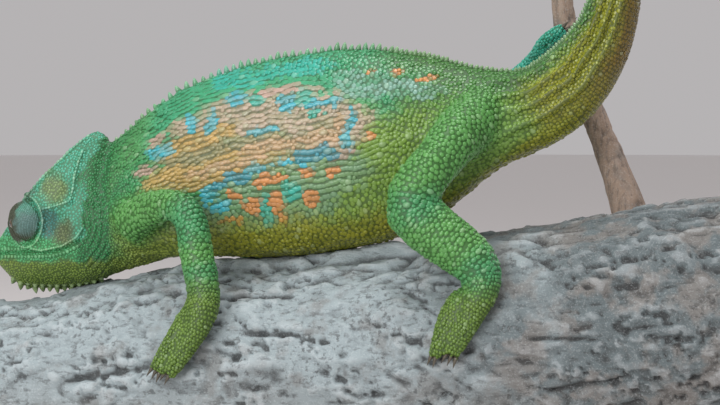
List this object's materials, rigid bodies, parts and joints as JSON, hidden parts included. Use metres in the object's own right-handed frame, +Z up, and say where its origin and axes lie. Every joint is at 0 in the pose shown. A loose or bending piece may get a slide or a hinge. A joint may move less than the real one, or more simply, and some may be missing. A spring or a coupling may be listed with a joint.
{
  "type": "dwarf chameleon model",
  "caption": "Life-size model of a green dwarf chameleon walking down a cut length of branch, one hind foot on a side twig, tail curled, on a plain display stand.",
  "frame": {"origin": "centre of the base's underside", "axes": "+X from the snout towards the tail, along the branch; +Y to the animal's right; +Z up"},
  "size_m": [0.13, 0.076, 0.1229],
  "materials": {
    "back_skin": "fine scales, green with blue and orange patches",
    "belly_skin": "fine scales, olive yellow",
    "head_skin": "fine scales, green and teal",
    "limb_skin": "fine round scales, bright green",
    "turret_skin": "fine scales, blue grey",
    "eye": "wet and glossy",
    "claw": "smooth horn",
    "bark": "rough weathered grey bark",
    "base_wood": "dark stained and varnished",
    "rod_steel": "satin"
  },
  "bodies": {
    "root": {"neck": "back_skin", "chest": "back_skin", "belly": "back_skin", "hips": "back_skin", "tail_1": "belly_skin", "tail_2": "belly_skin", "tail_3": "belly_skin", "tail_4": "belly_skin", "tail_5": "belly_skin", "head": "head_skin", "lower_jaw": "head_skin", "turret_left": "turret_skin", "eye_left": "eye", "turret_right": "turret_skin", "eye_right": "eye", "front_left_upper": "limb_skin", "front_left_lower": "limb_skin", "front_left_outer_toes": "limb_skin", "front_left_inner_toes": "limb_skin", "front_left_claw_1": "claw", "front_left_claw_2": "claw", "front_left_claw_3": "claw", "front_left_claw_4": "claw", "front_left_claw_5": "claw", "front_right_upper": "limb_skin", "front_right_lower": "limb_skin", "front_right_outer_toes": "limb_skin", "front_right_inner_toes": "limb_skin", "front_right_claw_1": "claw", "front_right_claw_2": "claw", "front_right_claw_3": "claw", "front_right_claw_4": "claw", "front_right_claw_5": "claw", "hind_left_upper": "limb_skin", "hind_left_lower": "limb_skin", "hind_left_outer_toes": "limb_skin", "hind_left_inner_toes": "limb_skin", "hind_left_claw_1": "claw", "hind_left_claw_2": "claw", "hind_left_claw_3": "claw", "hind_left_claw_4": "claw", "hind_left_claw_5": "claw", "hind_right_upper": "limb_skin", "hind_right_lower": "limb_skin", "hind_right_outer_toes": "limb_skin", "hind_right_inner_toes": "limb_skin", "hind_right_claw_1": "claw", "hind_right_claw_2": "claw", "hind_right_claw_3": "claw", "hind_right_claw_4": "claw", "hind_right_claw_5": "claw", "perch_branch": "bark", "perch_twig": "bark", "stand_base": "base_wood", "stand_rod_front": "rod_steel", "stand_rod_rear": "rod_steel"}
  },
  "joints": []
}
